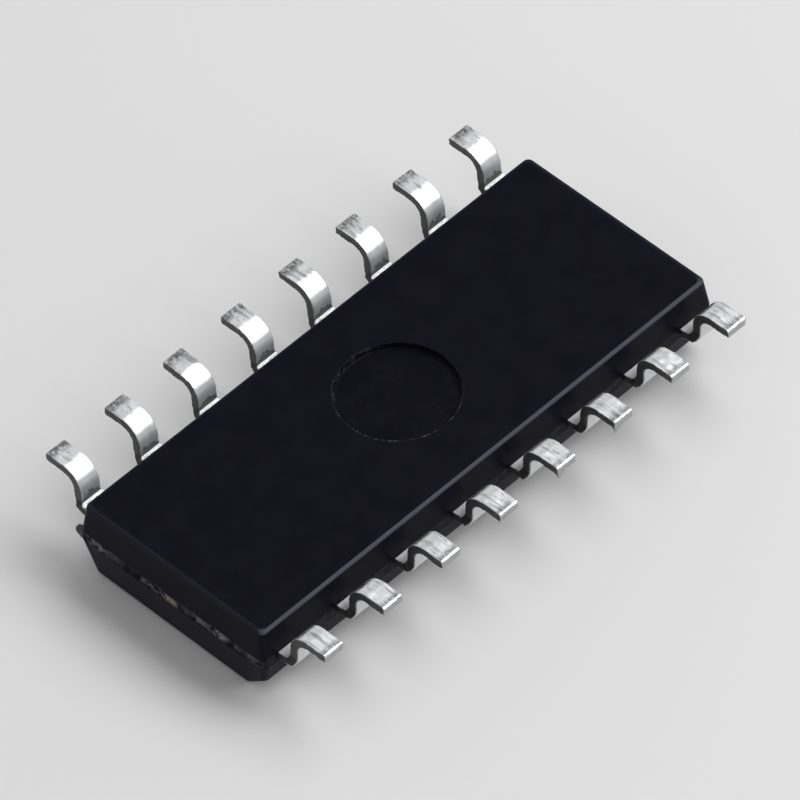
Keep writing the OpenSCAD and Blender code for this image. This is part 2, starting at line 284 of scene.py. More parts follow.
def side_levels(s):
    """Heights and insets of the shell's sides, from the belly's rim to the rim of the marked face. A half's
    side leans in by its draft, and a rim is an arc that touches the flat face and the leaning side."""
    turn = np.linspace(0, math.pi / 2 - s.belly_draft, RIM_COUNT)
    middle = s.height - s.belly_edge
    centre = rim_centre(middle - s.band_high, s.belly_edge, s.belly_draft)
    rim_z = middle + s.belly_edge * np.cos(turn)
    rim_in = centre - s.belly_edge * np.sin(turn)
    side_z = np.linspace(rim_z[-1], s.band_high, 7)[1:-1]
    side_z = np.r_[rim_z[-1] - NEAR_EDGE, side_z, s.band_high + NEAR_EDGE, s.band_high]
    side_in = (side_z - s.band_high) * math.tan(s.belly_draft)
    band_z = np.linspace(s.band_high, s.band_low, 12)[1:-1]
    band_z = np.r_[s.band_high - NEAR_EDGE, band_z, s.band_low + NEAR_EDGE]
    turn = np.linspace(math.pi / 2 - s.marked_draft, 0, 7)
    centre = rim_centre(s.band_low - s.marked_edge, s.marked_edge, s.marked_draft)
    foot_z = s.marked_edge * (1 - np.cos(turn))
    foot_in = centre - s.marked_edge * np.sin(turn)
    above_bevel = np.linspace(s.band_low, s.bevel + 4 * NEAR_EDGE, 5)[1:]
    at_bevel = s.bevel + NEAR_EDGE * np.array([2, 1, 0, -1, -2, -4])
    below_bevel = np.linspace(s.bevel - 4 * NEAR_EDGE, foot_z[0] + NEAR_EDGE, 6)[1:]
    low_z = np.r_[s.band_low, s.band_low - NEAR_EDGE, above_bevel, at_bevel, below_bevel]
    low_in = (s.band_low - low_z) * math.tan(s.marked_draft)
    return np.r_[rim_z, side_z, band_z, low_z, foot_z], np.r_[rim_in, side_in, 0 * band_z, low_in, foot_in]


def disc_rings(centre, outline, radii, heights):
    """Rings from an outline inwards to a round hollow: the outline slides straight to the largest circle,
    each point to the one in its own direction from the centre, and then the circles follow the profile. The
    slides are closer at both ends, which keeps the edges crisp."""
    away = outline[:, :2] - centre
    facing = np.arctan2(away[:, 1], away[:, 0])
    circle = np.stack([np.cos(facing), np.sin(facing)], -1)
    share = np.array([0.012, 0.08, 0.25, 0.45, 0.65, 0.82, 0.93, 0.97, 0.985, 0.993])[:, None, None]
    flat = (1 - share) * outline[None, :, :2] + share * (centre + circle * radii[0])[None]
    hollow = centre + circle[None] * np.asarray(radii)[:, None, None]
    plan = np.concatenate([flat, hollow])
    level = np.concatenate([np.full(len(flat), outline[0, 2]), heights])
    return np.concatenate([plan, np.broadcast_to(level[:, None, None], plan.shape[:2] + (1,))], -1)


def round_hollow(radius, depth, rim, fillet, rings):
    """Radii and depths of a round hollow: a small rounded rim, a wall that leans in a little, a rounded foot
    and a flat floor with turned rings of a few microns."""
    lean, mark_depth, mark_pitch = 0.08, 1.2 * MICRON, 0.09 * MM
    turn = np.linspace(0, math.pi / 2, 5)
    foot = radius - lean * depth
    floor = np.linspace(foot - fillet, 0, rings + 1)[1:-1]
    radii = [radius + rim * (1 - np.sin(turn)), foot - fillet * (1 - np.cos(turn)), floor]
    marks = mark_depth * np.cos(floor * 2 * math.pi / mark_pitch)
    depths = [rim * (1 - np.cos(turn)), depth - fillet * (1 - np.sin(turn)), depth + marks]
    return np.concatenate(radii), np.concatenate(depths)


def shell_surface(s):
    """Rings of the shell from the middle of the belly recess, over the belly, down the sides, over the marked
    face and into the index dimple. Also the facts for its finish: how broken each point is, how rubbed the
    belly's rim and how much painted highlight it gets, where the pin pressed, and where pale crumbs paint a
    highlight on one side of the recess lip."""
    ax, ay, cx, cy = round_rectangle((90, 220), 6)
    z, inset = side_levels(s)
    half_x = s.half_length - s.end_gap - inset
    high_y = s.half_width - inset

    # The bevel cuts the side of lead 1: the nearer of the two planes, with a soft edge between them
    bevel_line = s.half_width - (s.band_low - s.bevel) * math.tan(s.marked_draft) - (s.bevel - z)
    step = bevel_line - high_y
    low_y = -0.5 * (bevel_line + high_y - np.sqrt(step**2 + s.bevel_edge**2))

    x = ax * (half_x[:, None] - s.corner) + s.corner * cx
    middle_y = (high_y + low_y)[:, None] / 2
    round_y = (high_y - low_y)[:, None] / 2 - s.corner
    y = middle_y + ay * round_y + s.corner * cy
    sides = np.stack([x, y, np.broadcast_to(z[:, None], x.shape)], -1)

    # The end bands broke off a thin web and are ragged, always inside the nominal plane. The long bands were
    # sheared, and are ragged by a small share of that.
    fade, long_share = 0.03 * MM, 0.12
    within = ramp(z, s.band_high, s.band_high - fade) * ramp(z, s.band_low, s.band_low + fade)
    torn = within[:, None] * (long_share + (1 - long_share) * np.abs(cx) ** 4)
    lumps = 0.50 * waves(sides, 0.50 * MM, 5) + 0.55 * waves(sides, 0.14 * MM, 6)
    lumps += 0.15 * waves(sides, 0.06 * MM, 7)
    depth = s.band_roughness * torn * np.clip(0.45 + 0.5 * lumps, 0, 1.2)
    sides[..., 0] -= depth * cx
    sides[..., 1] -= depth * cy

    radii, depths = round_hollow(s.recess_radius, s.recess_depth, rim=0.008 * MM, fillet=0.02 * MM, rings=22)
    belly = disc_rings(np.zeros(2), sides[0], radii, s.height - depths)[::-1]
    radii, depths = round_hollow(s.dimple_radius, s.dimple_depth, rim=0.012 * MM, fillet=0.03 * MM, rings=8)
    dimple = np.array([s.dimple_x, s.dimple_inset - s.half_width])
    marked = disc_rings(dimple, sides[-1], radii, depths)
    rings = np.concatenate([belly, sides, marked])

    # The rim is rubbed, and its colour is lightened as a painted highlight, a little all round and fully
    # along the row of lead 1; one side of the recess lip gets a painted highlight of pale crumbs
    rub_and_highlight, highlight_facing, lip_reach, press_edge = 0.18, math.radians(205), 0.016 * MM, 0.01 * MM
    rows = len(belly)
    from_axis = np.hypot(belly[..., 0], belly[..., 1])
    facing = np.arctan2(belly[..., 1], belly[..., 0])
    highlight_side = np.clip(0.55 + 0.6 * np.cos(facing - highlight_facing), 0, 1)
    facts = {name: np.zeros(rings.shape[:2]) for name in ("broken_and_glint", "rim", "pressed", "lip")}
    facts["broken_and_glint"][rows : rows + len(sides)] = torn
    facts["rim"][rows : rows + RIM_COUNT] = rub_and_highlight + (1 - rub_and_highlight) * np.maximum(0, -cy)
    facts["pressed"][:rows] = ramp(from_axis, s.recess_radius, s.recess_radius - press_edge)
    facts["lip"][:rows] = hump(from_axis, s.recess_radius, lip_reach) * highlight_side
    first = [[0, 0, belly[0, 0, 2]]]
    last = [[dimple[0], dimple[1], marked[-1, 0, 2]]]
    return rings, first, last, facts


# ---------- leads ----------


BODY_FACE_RING = 3  # of the formed part's rings, the one that lies at the body's face
POOL_RISE = math.radians(14)
POOL_FALL = math.radians(20)
POLISH_FADE = math.radians(3)
START_SHARES = np.array([0.3, 0.6, 0.9, 0.985])[:, None, None]
TIP_SHARES = np.array([0.985, 0.93, 0.8, 0.6, 0.4, 0.2])[:, None, None]


def finger_line(k, sizes):
    """Mid-line in plan of the inner finger of the k-th lead from the middle of a quarter, from its tip
    outwards, and its widths."""
    x = (k + 0.5) * sizes.pitch / MM
    lines = [
        [[0.56, 1.36], [x, 1.60]],
        [[1.47, 1.36], [1.47, 1.52], [x, 1.74]],
        [[2.16, 0.96], [2.50, 1.02], [x, 1.60]],
        [[2.16, 0.46], [3.30, 0.58], [x, 1.44]],
    ]
    line = np.array(lines[k] + [[x, 1.90]]) * MM
    widths = np.array([0.26, 0.32, 0.32, 0.32][: len(line) - 2] + [0.40, 0.40]) * MM
    return line, widths


def outer_line(sizes):
    """Mid-line of the formed part in its own upright plane: shoulder, ankle bend, leaning leg, heel bend and
    foot. A bend is an arc that touches the straight runs on both sides of it. Also how far the line has
    turned at each point. The soles and tips stay a few microns inside the solid's."""
    bend = math.pi / 2 - sizes.lean
    sole = sizes.sole - 0.005 * MM - sizes.thickness / 2
    tip = sizes.tip - 0.010 * MM
    start = np.array([BODY_HIGH.y + sizes.shoulder, sizes.plane])
    rise = sole - sizes.plane
    leg = (rise - (sizes.ankle + sizes.heel) * (1 - math.cos(bend))) / math.sin(bend)

    turn = np.linspace(0, bend, 45)
    ankle = start + sizes.ankle * np.stack([np.sin(turn), 1 - np.cos(turn)], -1)
    ahead = np.array([math.cos(bend), math.sin(bend)])
    leg_end = ankle[-1] + leg * ahead
    heel_centre = leg_end + sizes.heel * np.array([math.sin(bend), -math.cos(bend)])
    heel_turn = np.linspace(bend, 0, 25)
    heel = heel_centre + sizes.heel * np.stack([-np.sin(heel_turn), np.cos(heel_turn)], -1)

    inside = np.linspace(1.93 * MM, start[0], 7)[:-1]
    leg_run = np.linspace(0, leg, 12)[1:-1]
    round_off = np.sin(np.linspace(0, math.pi / 2, 8)) * sizes.tip_edge
    foot_run = np.linspace(heel[-1, 0], tip - sizes.tip_edge, 20)[1:-1]
    foot_run = np.r_[foot_run, tip - sizes.tip_edge + round_off]
    shoulder = np.c_[inside, np.full(len(inside), sizes.plane)]
    foot = np.c_[foot_run, np.full(len(foot_run), sole)]
    line = np.vstack([shoulder, ankle, ankle[-1] + leg_run[:, None] * ahead, heel, foot])
    return line, np.r_[0 * inside, turn, np.full(len(leg_run), bend), heel_turn, 0 * foot_run]


class LeadPath:
    """Where one lead's rings are, in the quarter where X and Y are positive: the centre of each, the
    directions across the sheet and out of its sole's side, its width, whether it is on the inner finger, and
    the bends' turn there. The finger's rings are mitred in plan, and the formed part's are square to its
    mid-line."""

    def __init__(self, k, sizes):
        plan, widths = finger_line(k, sizes)
        line, turned = outer_line(sizes)
        run = np.diff(plan, axis=0)
        run /= np.linalg.norm(run, axis=1)[:, None]
        before = np.vstack([run[:1], run])
        middle = before + np.vstack([run, run[-1:]])
        middle /= np.linalg.norm(middle, axis=1)[:, None]
        side = np.stack([middle[:, 1], -middle[:, 0]], -1) / (middle * before).sum(-1)[:, None]

        inner, outer = len(plan), len(line)
        self.inner = np.arange(inner + outer) < inner
        finger = np.c_[plan, np.full(inner, sizes.plane)]
        self.centre = np.vstack([finger, np.c_[np.full(outer, plan[-1, 0]), line]])
        self.across = np.vstack([np.c_[side, np.zeros(inner)], np.tile([1, 0, 0], (outer, 1))])
        square = np.c_[0 * turned, -np.sin(turned), np.cos(turned)]
        self.upward = np.vstack([np.tile([0, 0, 1], (inner, 1)), square])
        self.width = np.r_[widths, np.full(outer, sizes.width)]
        self.bend = np.r_[np.zeros(inner), turned]
        self.along = np.r_[0, np.cumsum(np.linalg.norm(np.diff(self.centre, axis=0), axis=1))]
        self.from_body = self.along - self.along[inner + BODY_FACE_RING]
        self.to_tip = self.along[-1] - self.along


def pool_and_crease(path, sizes, seed, a, flat, top):
    """Shares of the tin pool and of the crease's painted shade at each point. The pool lies in the hollow of
    the ankle bend, and rises and falls with the bend's turn. The painted shade of the crease is a bow at the
    foot of the leg, darkest along its upper rim."""
    in_ankle = (path.from_body > 0) & (path.from_body < sizes.leg_place)
    rising = ramp(path.bend, sizes.pool_start, sizes.pool_start + POOL_RISE)
    falling = ramp(path.bend, sizes.pool_end, sizes.pool_end - POOL_FALL)
    pooled = (rising * falling * in_ankle)[:, None] * top

    foot = np.interp(sizes.crease_start, path.bend[in_ankle], path.from_body[in_ankle])
    from_foot = path.from_body[:, None] - foot
    uneven = 1 + 0.2 * waves(flat, 0.1 * MM, seed + 7)
    arch = (1 - np.clip(a / sizes.width * 2, -1, 1) ** 2) ** 0.6
    below = sizes.crease_bow * arch * uneven + 0.015 * MM - from_foot
    depth = 0.62 * ramp(below, 0, 0.008 * MM) + 0.38 * hump(below, 0, 0.02 * MM)
    return pooled, top * ramp(from_foot, 0, 0.012 * MM) * depth


def lead_surface(k, sizes, seed, spur, polished):
    """Rings of one lead in the quarter where X and Y are positive: a rounded rectangle carried along its
    path, with small waves, a tilted foot, a burr at the tip, the stubs of the cut dam bar and, on a polished
    lead, the tin pool and a shallow crease that carries painted shade. Also the points' places on the
    flattened lead, and the facts for its finish."""
    draw = np.random.default_rng(seed)
    path = LeadPath(k, sizes)
    from_body, to_tip = path.from_body, path.to_tip

    # Section columns, with a smaller radius at the edges on the sole's side
    ax, ay, cx, cy = round_rectangle((7, 18), 4)
    top, under = np.clip(cy, 0, 1), np.clip(-cy, 0, 1)
    edge = np.where(ay * (1 - np.abs(cx)) + cy * 0.5 > 0, sizes.sheared_edge, sizes.rolled_edge)
    edge = np.where(np.abs(cy) < 1e-6, np.where(ay > 0, sizes.sheared_edge, sizes.rolled_edge), edge)

    # The stubs of the dam bar have flat tops, and ragged sides
    stub = hump(from_body, sizes.dam_place, sizes.dam_reach, 6) * sizes.dam_stub
    ragged = 1 + 0.35 * np.sin(path.along / (0.03 * MM) + draw.uniform(0, 6))
    grown = path.width / 2 + stub * ragged
    a = ax * (grown[:, None] - edge) + edge * cx
    b = np.broadcast_to(ay * (sizes.thickness / 2 - edge) + edge * cy, a.shape).copy()
    flat = np.stack([a, b, np.broadcast_to(path.along[:, None], a.shape)], -1)

    # Tin is smeared on the sole and scratched lengthwise by the forming die
    outside = ramp(from_body, 0, 0.1 * MM)[:, None]
    foot = ramp(to_tip, 0.55 * MM, 0.43 * MM)[:, None]
    drawn = waves(flat * [1, 1, 0.10], 0.075 * MM, seed + 1)
    dented = waves(flat * [1, 1, 0.6], 0.16 * MM, seed + 2)
    waviness = outside * (0.35 + 0.65 * foot) * (1.1 * drawn + 1.6 * dented) * MICRON
    slack = 3.0 * MICRON * foot * top
    tilt = draw.uniform(-0.022, 0.022) * foot
    b += waviness * np.abs(cy) - slack + tilt * a - np.abs(tilt) * path.width[:, None] / 2
    a += waviness * cx * 2.0
    a += outside * cx * np.abs(ay) ** 3 * 3.0 * MICRON * waves(flat, 0.05 * MM, seed + 5)

    pooled = crease_shade_share = np.zeros(a.shape)
    if polished:
        pooled, crease_shade_share = pool_and_crease(path, sizes, seed, a, flat, top)
        b += pooled * sizes.pool_depth * (1 + 0.12 * waves(flat, 0.05 * MM, seed + 6))
        # The crease is a dent of a few microns that carries painted shade
        b -= crease_shade_share * 6 * MICRON

    # The cut at the tip rolls the sole's edge over in a quarter circle, a little unevenly, and leaves a burr
    # below
    into = np.clip(sizes.tip_edge - to_tip, 0, sizes.tip_edge)
    roll = (sizes.tip_edge - np.sqrt(sizes.tip_edge**2 - into**2))[:, None]
    b = np.where(b > 0, b * (1 - roll / (sizes.thickness / 2)), b)
    b -= roll * top * 0.03 * waves(flat, 0.12 * MM, seed + 3)
    b += hump(to_tip, 0, 0.035 * MM)[:, None] * under * 14 * MICRON
    if spur:
        corner = hump(to_tip, 0, 0.03 * MM)[:, None] * hump(a / spur, sizes.width / 2, 0.055 * MM)
        b -= corner * under * 0.11 * MM

    rings = path.centre[:, None] + a[..., None] * path.across[:, None] + b[..., None] * path.upward[:, None]

    # Closing rings: the end of the finger, and the cut face at the tip, ragged by a few microns
    start_centre, tip_centre = rings[0].mean(0), rings[-1].mean(0)
    start = start_centre + (rings[0] - start_centre) * START_SHARES
    face = tip_centre + (rings[-1] - tip_centre) * TIP_SHARES
    past_edge = TIP_SHARES[..., 0] < 0.95
    push = np.where(past_edge, 1.0, 0.6) * 7 * MICRON
    face[..., 1] += push + 3 * MICRON * waves(face * [0.4, 1, 1], 0.05 * MM, seed + 4) * past_edge
    face[..., 1] = np.minimum(face[..., 1], sizes.tip - 0.5 * MICRON)
    space = np.concatenate([flat[:1] * START_SHARES, flat, flat[-1:] * TIP_SHARES ** np.array([1, 1, 0])])

    def fact(values, at_start=0, at_tip=0):
        """A fact's values on the rings along the lead, with even values on the closing rings."""
        before = np.full((len(start), rings.shape[1]), at_start)
        beyond = np.full((len(face), rings.shape[1]), at_tip)
        return np.vstack([before, np.broadcast_to(values, rings.shape[:2]), beyond])

    if polished:
        worn = ramp(to_tip, 0.22 * MM, 0.10 * MM)
    else:
        worn = 0.75 * ramp(to_tip, 0.14 * MM, 0.08 * MM) * (to_tip > 0.035 * MM)
    dam_cut = hump(from_body, sizes.dam_place, 1.2 * sizes.dam_reach, 4)[:, None]
    past_leg = from_body > sizes.leg_place
    on_heel = past_leg * ramp(path.bend, sizes.polish_end, sizes.polish_end - POLISH_FADE)
    facts = {
        "cut": fact(np.abs(cx) ** 3 * (0.8 + 0.2 * dam_cut), at_tip=0.42),
        "bare": fact(path.inner[:, None], at_start=1),
        "burnished": fact(ramp(to_tip, 0.52 * MM, 0.46 * MM)[:, None] * top),
        "polish": fact(on_heel[:, None] * top),
        "pool": fact(np.clip(pooled * 8, 0, 1)),
        "crease_shade": fact(crease_shade_share),
        "scuffed": fact(worn[:, None] * top),
    }
    return np.concatenate([start, rings, face]), start_centre, face[-1].mean(0), space, facts


def nib_surface(s, seed=3):
    """Rings of the chip of flash at a corner of the parting band: an ellipse that shrinks to a blunt point as
    it runs out along Y, made ragged by waves and kept inside the end face."""
    root = np.array([-s.half_length + 0.125 * MM, s.half_width - 0.05 * MM, 0.885 * MM])
    reach = np.array([-0.02, 0.24, -0.03]) * MM
    half_x, half_z = 0.115 * MM, 0.125 * MM
    t = np.linspace(0, 1, 14)[:, None]
    turn = np.linspace(0, 2 * math.pi, 40, endpoint=False)[None, :]
    size = (1 - t) ** 0.5 + 0.01
    x = root[0] + half_x * size * np.cos(turn) + reach[0] * t
    y = root[1] + reach[1] * t + 0 * turn
    z = root[2] + half_z * size * np.sin(turn) + reach[2] * t
    rings = np.stack([x, y, z], -1)
    ragged = waves(rings, 0.09 * MM, seed) * 0.007 * MM * np.sin(math.pi * t) ** 0.5
    rings[..., 0] += ragged * np.cos(turn)
    rings[..., 1] += ragged
    rings[..., 2] += ragged * np.sin(turn)
    rings[..., 0] = np.maximum(rings[..., 0], -s.half_length + MICRON)
    return rings, rings[0].mean(0), rings[-1].mean(0)


def lead_place(number):
    """Which quarter a lead is in: 1 to 8 run along the -Y side from +X to -X, and 9 to 16 back along +Y."""
    step = number - 1 if number <= LEADS_PER_SIDE else LEAD_COUNT - number
    signed = (LEADS_PER_SIDE - 1) / 2 - step
    return int(abs(signed) - 0.5), math.copysign(1, signed), -1 if number <= LEADS_PER_SIDE else 1


# ---------- finishes ----------


class Nodes:
    """The nodes of one material or world. A value may always be a socket instead."""

    def __init__(self, owner):
        owner.use_nodes = True
        self.tree = owner.node_tree
        self.tree.nodes.clear()

    def fill(self, node, inputs):
        """Joins a node's inputs to sockets, or writes numbers, places and colours into them."""
        for key, value in inputs.items():
            socket = node.inputs[key]
            if isinstance(value, bpy.types.NodeSocket):
                self.tree.links.new(value, socket)
            else:
                socket.default_value = (*value, 1) if socket.type == "RGBA" else value

    def node(self, kind, inputs=None, **values):
        """A new node, with its own values set first and then its inputs filled."""
        node = self.tree.nodes.new(kind)
        for key, value in values.items():
            setattr(node, key, value)
        self.fill(node, inputs or {})
        return node


class Finish(Nodes):
    """One material, with short calls that add patterns to it."""

    def __init__(self, name):
        self.material = bpy.data.materials.new(name)
        super().__init__(self.material)
        self.shader = self.node("ShaderNodeBsdfPrincipled")
        self.node("ShaderNodeOutputMaterial", {"Surface": self.shader.outputs["BSDF"]})

    def set(self, **values):
        """Fills the shader's inputs."""
        for key, value in values.items():
            self.fill(self.shader, {key.replace("_", " ").title().replace("Ior", "IOR"): value})

    def place(self, stretch=(1, 1, 1), attribute=None):
        """Coordinates for a pattern: the object's own or a vector attribute, stretched along each axis."""
        if attribute:
            source = self.node("ShaderNodeAttribute", attribute_name=attribute).outputs["Vector"]
        else:
            source = self.node("ShaderNodeTexCoord").outputs["Object"]
        return self.node("ShaderNodeMapping", {"Scale": stretch, "Vector": source}).outputs["Vector"]

    def noise(self, place, size, detail=3, roughness=0.55, distortion=0):
        """Noise with features of about size, in metres."""
        looks = {"Scale": 1 / size, "Detail": detail, "Roughness": roughness, "Distortion": distortion}
        return self.node("ShaderNodeTexNoise", {"Vector": place, **looks}).outputs["Fac"]

    def maths(self, operation, *values):
        """The result of one operation on numbers."""
        return self.node("ShaderNodeMath", dict(enumerate(values)), operation=operation).outputs["Value"]

    def range(self, value, low, high, start=0.3, end=0.7):
        """A value taken from start..end to low..high, held at both ends."""
        inputs = {"Value": value, "From Min": start, "From Max": end, "To Min": low, "To Max": high}
        return self.node("ShaderNodeMapRange", inputs).outputs["Result"]

    def blend(self, share, first, second):
        """A colour between two."""
        return self.node("ShaderNodeMix", {0: share, 6: first, 7: second}, data_type="RGBA").outputs[2]

    def mix(self, share, first, second):
        """A number between two."""
        return self.node("ShaderNodeMix", {0: share, 2: first, 3: second}, data_type="FLOAT").outputs[0]

    def fact(self, name):
        """A point attribute of one number."""
        return self.node("ShaderNodeAttribute", attribute_name=name).outputs["Fac"]

    def bump(self, height, distance, strength=1.0, below=None):
        """A surface raised by a height of 0 to 1 times a distance, on top of another bump if there is one."""
        inputs = {"Height": height, "Distance": distance, "Strength": strength}
        if below is not None:
            inputs["Normal"] = below
        return self.node("ShaderNodeBump", inputs).outputs["Normal"]


def dress(piece, material):
    """Gives a piece or CAD node its material, in every material slot."""
    if not piece.material_slots:
        piece.data.materials.append(material)
    for slot in piece.material_slots:
        slot.material = material


def compound_finish(colours):
    """Spark-eroded mould compound: near black, satin and mottled. The broken bands are paler in patches that
    also paint glints, the rubbed rim is smoother and greyer with a painted highlight, the floor of the recess
    is scuffed, and pale crumbs on one side of its lip paint a highlight."""
    f = Finish("mold_compound")
    place = f.place()
    f.set(ior=colours.compound_index)
    mottle = f.range(f.noise(place, 0.5 * MM, 4), 0, 1)
    speck = f.range(f.noise(place, 0.018 * MM, 2), 0, 1, 0.35, 0.8)
    broken_and_glint, rim = f.fact("broken_and_glint"), f.fact("rim")
    tone = f.blend(mottle, colours.compound, colours.compound_pale)
    tone = f.blend(f.range(speck, 0, 0.5, 0, 1), tone, colours.compound_pale)
    # Pale patches on the broken bands: paler broken compound that also paints glints
    glint_chips = f.range(f.noise(f.place((1, 0.6, 1)), 0.10 * MM, 4, 0.6, 0.6), 0, 1, 0.42, 0.60)
    reach = f.range(f.noise(f.place((1, 1, 0.2)), 0.9 * MM, 2), 0.15, 1, 0.38, 0.52)
    torn = f.blend(glint_chips, colours.compound_pale, colours.broken_and_glint)
    torn = f.blend(reach, colours.compound_pale, torn)
    # The rim's paler colour is a painted highlight over the rubbed edge
    tone = f.blend(rim, tone, colours.worn)
    scuffs = f.range(f.noise(place, 0.35 * MM, 5, 0.65, 1.0), 0, 0.8, 0.46, 0.62)
    tone = f.blend(f.fact("pressed"), tone, f.blend(scuffs, colours.pin_face, colours.compound_pale))
    # Pale crumbs on one side of the recess lip: a painted highlight
    crumbs = f.range(f.noise(place, 0.09 * MM, 4, 0.7), 0.04, 1, 0.52, 0.64)
    tone = f.blend(f.mix(f.fact("lip"), 0.0, crumbs), tone, colours.broken_and_glint)
    f.set(base_color=f.blend(broken_and_glint, tone, torn))
    satin = f.range(f.noise(place, 0.03 * MM, 3), 0.33, 0.40)
    satin = f.mix(rim, satin, 0.24)
    f.set(roughness=f.mix(broken_and_glint, satin, 0.46))
    f.set(normal=f.bump(f.noise(place, 0.022 * MM, 3, 0.6), 1.6 * MICRON, 0.35))
    return f.material


def tin_finish(colours):
    """Matt tin over copper. The soles are burnished in lengthwise streaks and blotches by the forming die and
    scuffed at the tips, the heels are polished, the tin pool is white and pitted under a crease darkened by
    painted shade, the sheared sides are dull and dark, and the fingers inside are bare copper."""
    f = Finish("tin_plating")
    long_streaks = f.place((1, 1, 0.09), "lead_space")
    patches = f.place((1, 1, 0.5), "lead_space")
    even = f.place(attribute="lead_space")
    streak = f.noise(long_streaks, 0.06 * MM, 3, 0.55)
    fine = f.noise(long_streaks, 0.018 * MM, 2, 0.5)
    patch = f.noise(patches, 0.13 * MM, 3, 0.6, 0.8)
    burnished, polish, pool, cut = (f.fact(name) for name in ("burnished", "polish", "pool", "cut"))
    drawn = f.blend(f.range(streak, 0.9, 0, 0.36, 0.46), colours.tin_bright, colours.tin_dull)
    drawn = f.blend(f.range(patch, 0.75, 0, 0.33, 0.45), drawn, colours.tin_dull)
    matt = f.blend(f.range(patch, 0.25, 0, 0.35, 0.55), colours.tin, colours.tin_dull)
    grime = f.range(f.noise(f.place((1, 1, 0.7), "lead_space"), 0.05 * MM, 4, 0.65), 1, 0.25, 0.42, 0.62)
    drawn = f.blend(f.mix(f.fact("scuffed"), 0.0, grime), drawn, colours.scuffed)
    tone = f.blend(burnished, matt, drawn)
    # Painted shade in the crease above the tin pool
    tone = f.blend(f.fact("crease_shade"), tone, colours.crease_shade)
    pits = f.range(f.noise(even, 0.045 * MM, 3, 0.6), 0, 0.85, 0.54, 0.66)
    tone = f.blend(pool, tone, f.blend(pits, colours.pooled, colours.tin_dull))
    tone = f.blend(f.range(cut, 0, 0.97, 0.1, 0.85), tone, colours.sheared)
    f.set(base_color=f.blend(f.fact("bare"), tone, colours.copper))
    sole = f.range(streak, 0.26, 0.46, 0.35, 0.65)
    rough = f.mix(burnished, f.range(patch, 0.5, 0.62), sole)
    rough = f.mix(polish, rough, f.range(patch, 0.26, 0.34))
    rough = f.mix(pool, rough, 0.42)
    f.set(roughness=f.mix(cut, rough, 0.5))
    metal = f.mix(polish, 0.62, 1.0)
    metal = f.mix(burnished, metal, f.range(patch, 0.55, 0.85, 0.35, 0.6))
    metal = f.mix(cut, metal, 1.0)
    f.set(metallic=f.mix(pool, metal, 0.35))
    low = f.bump(patch, 5.0 * MICRON, 0.6)
    low = f.bump(streak, 3.0 * MICRON, 0.6, low)
    grit = f.mix(pool, 0.0, f.noise(even, 0.035 * MM, 2, 0.5))
    low = f.bump(grit, 12.0 * MICRON, 0.8, low)
    f.set(normal=f.bump(fine, 0.8 * MICRON, 0.5, low))
    return f.material


def copper_finish(colours):
    """Stamped copper alloy, rolled and tarnished, with paler cut ends."""
    f = Finish("copper_alloy")
    place = f.place((0.3, 1, 1))
    tarnish = f.range(f.noise(place, 0.05 * MM, 5, 0.65), 0, 1, 0.4, 0.65)
    parts = f.node("ShaderNodeSeparateXYZ", {"Vector": f.place()}).outputs
    from_middle = f.maths("ABSOLUTE", parts["X"])
    end = f.range(from_middle, 0, 1, BODY_HIGH.x - 0.03 * MM, BODY_HIGH.x - 0.01 * MM)
    sheet = f.blend(tarnish, colours.copper, colours.copper_dark)
    cut_end = f.blend(tarnish, colours.cut_copper, colours.copper_dark)

    # Crumbs of compound cling round the edge of the cut ends
    aside = f.maths("DIVIDE", f.maths("ABSOLUTE", parts["Y"]), TIE_BAR_WIDTH / 2)
    level = f.maths("SUBTRACT", parts["Z"], LEAD_PLANE)
    above = f.maths("DIVIDE", f.maths("ABSOLUTE", level), LEAD_SHEET / 2)
    outwards = f.maths("ADD", f.maths("MAXIMUM", aside, above), f.noise(f.place(), 0.07 * MM, 4, 0.65))
    crumbs = f.maths("MULTIPLY", end, f.range(outwards, 0, 1, 1.08, 1.26))
    tone = f.blend(end, sheet, cut_end)
    f.set(base_color=f.blend(crumbs, tone, colours.compound_pale))
    f.set(metallic=f.mix(crumbs, 1.0, 0.0))
    f.set(roughness=f.range(tarnish, 0.34, 0.52, 0, 1))
    f.set(normal=f.bump(f.noise(place, 0.02 * MM, 3), 2.0 * MICRON, 0.6))
    return f.material


def epoxy_finish(colours):
    """Silver-filled die-attach epoxy."""
    f = Finish("attach_epoxy")
    f.set(specular_ior_level=0.5)
    flakes = f.noise(f.place(), 0.012 * MM, 3)
    f.set(base_color=f.blend(f.range(flakes, 0, 1), [0.6 * c for c in colours.epoxy], colours.epoxy))
    f.set(metallic=f.range(flakes, 0.2, 0.8))
    f.set(roughness=f.range(flakes, 0.5, 0.3))
    f.set(normal=f.bump(flakes, 1.5 * MICRON, 0.5))
    return f.material


def silicon_finish(colours):
    """Passivated silicon with blocks of wiring."""
    f = Finish("silicon")
    f.set(specular_ior_level=0.6, coat_weight=0.5, coat_roughness=0.08)
    inputs = {"Vector": f.place(), "Scale": 1 / (0.12 * MM)}
    blocks = f.node("ShaderNodeTexVoronoi", inputs, distance="CHEBYCHEV")
    share = f.range(blocks.outputs["Distance"], 0, 1, 0.1, 0.5)
    f.set(base_color=f.blend(share, colours.silicon, [1.8 * c for c in colours.silicon]))
    f.set(metallic=f.range(share, 0.3, 0.7, 0, 1))
    f.set(roughness=f.range(share, 0.18, 0.3, 0, 1))
    return f.material


def gold_finish(colours):
    """Drawn gold wire."""
    f = Finish("bond_gold")
    f.set(metallic=1.0)
    grain = f.noise(f.place(), 0.01 * MM, 2)
    f.set(base_color=f.blend(f.range(grain, 0, 0.3), colours.gold, [0.8 * c for c in colours.gold]))
    f.set(roughness=f.range(grain, 0.16, 0.28))
    return f.material


def floor_finish(colours):
    """Plain pale floor."""
    f = Finish("pale_floor")
    f.set(base_color=colours.floor, roughness=0.7, specular_ior_level=0.2)
    return f.material


